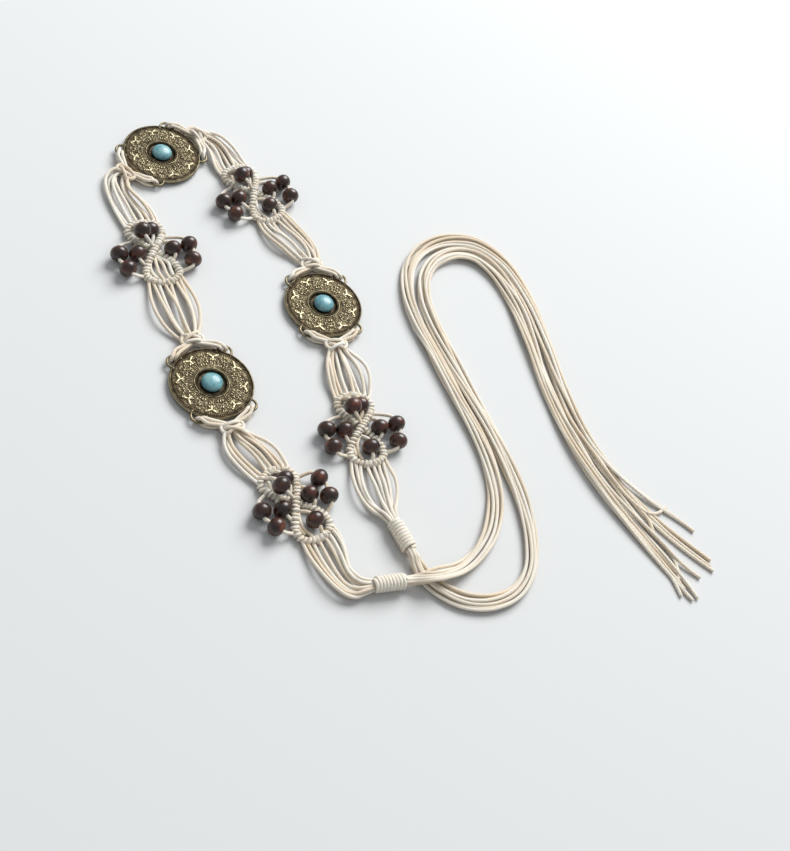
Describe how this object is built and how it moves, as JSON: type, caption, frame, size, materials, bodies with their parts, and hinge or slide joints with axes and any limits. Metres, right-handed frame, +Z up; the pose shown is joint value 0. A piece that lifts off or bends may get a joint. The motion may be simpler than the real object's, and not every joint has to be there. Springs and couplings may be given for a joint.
{
  "type": "macrame cord belt with metal discs and wooden beads",
  "caption": "Long tie belt in cream macrame cord, with round cast metal discs set with turquoise stones, knotted rosettes with dark wooden beads, and free cord ends.",
  "frame": {"origin": "on the surface the belt lies on, under the middle of the bounding box of the belt without its two free cord bundles", "axes": "+Z up from the surface, out of the discs' fronts; +Y along the long side of the laid belt, from its two wrapped ends to the disc furthest from them; +X to the right of that, the side on which the free cord bundles lie"},
  "size_m": [0.2445, 0.3929, 0.0167],
  "materials": {
    "cord": "matte braided cream cotton cord",
    "wood": "dark brown, glossy varnish",
    "bronze": "antique bronze with a dark patina in the hollows",
    "turquoise": "polished turquoise stone"
  },
  "bodies": {
    "root": {"disc_1": "bronze", "stone_1": "turquoise", "disc_2": "bronze", "stone_2": "turquoise", "disc_3": "bronze", "stone_3": "turquoise", "knotwork_1": "cord", "bead_1_1": "wood", "bead_1_2": "wood", "bead_1_3": "wood", "bead_1_4": "wood", "bead_1_5": "wood", "bead_1_6": "wood", "bead_1_7": "wood", "bead_1_8": "wood", "bead_1_9": "wood", "knotwork_2": "cord", "bead_2_1": "wood", "bead_2_2": "wood", "bead_2_3": "wood", "bead_2_4": "wood", "bead_2_5": "wood", "bead_2_6": "wood", "bead_2_7": "wood", "bead_2_8": "wood", "knotwork_3": "cord", "bead_3_1": "wood", "bead_3_2": "wood", "bead_3_3": "wood", "bead_3_4": "wood", "bead_3_5": "wood", "bead_3_6": "wood", "bead_3_7": "wood", "bead_3_8": "wood", "bead_3_9": "wood", "knotwork_4": "cord", "bead_4_1": "wood", "bead_4_2": "wood", "bead_4_3": "wood", "bead_4_4": "wood", "bead_4_5": "wood", "bead_4_6": "wood", "bead_4_7": "wood", "bead_4_8": "wood", "bead_4_9": "wood", "wrap_a": "cord", "wrap_b": "cord", "tail_a": "cord", "tail_b": "cord"}
  },
  "joints": []
}
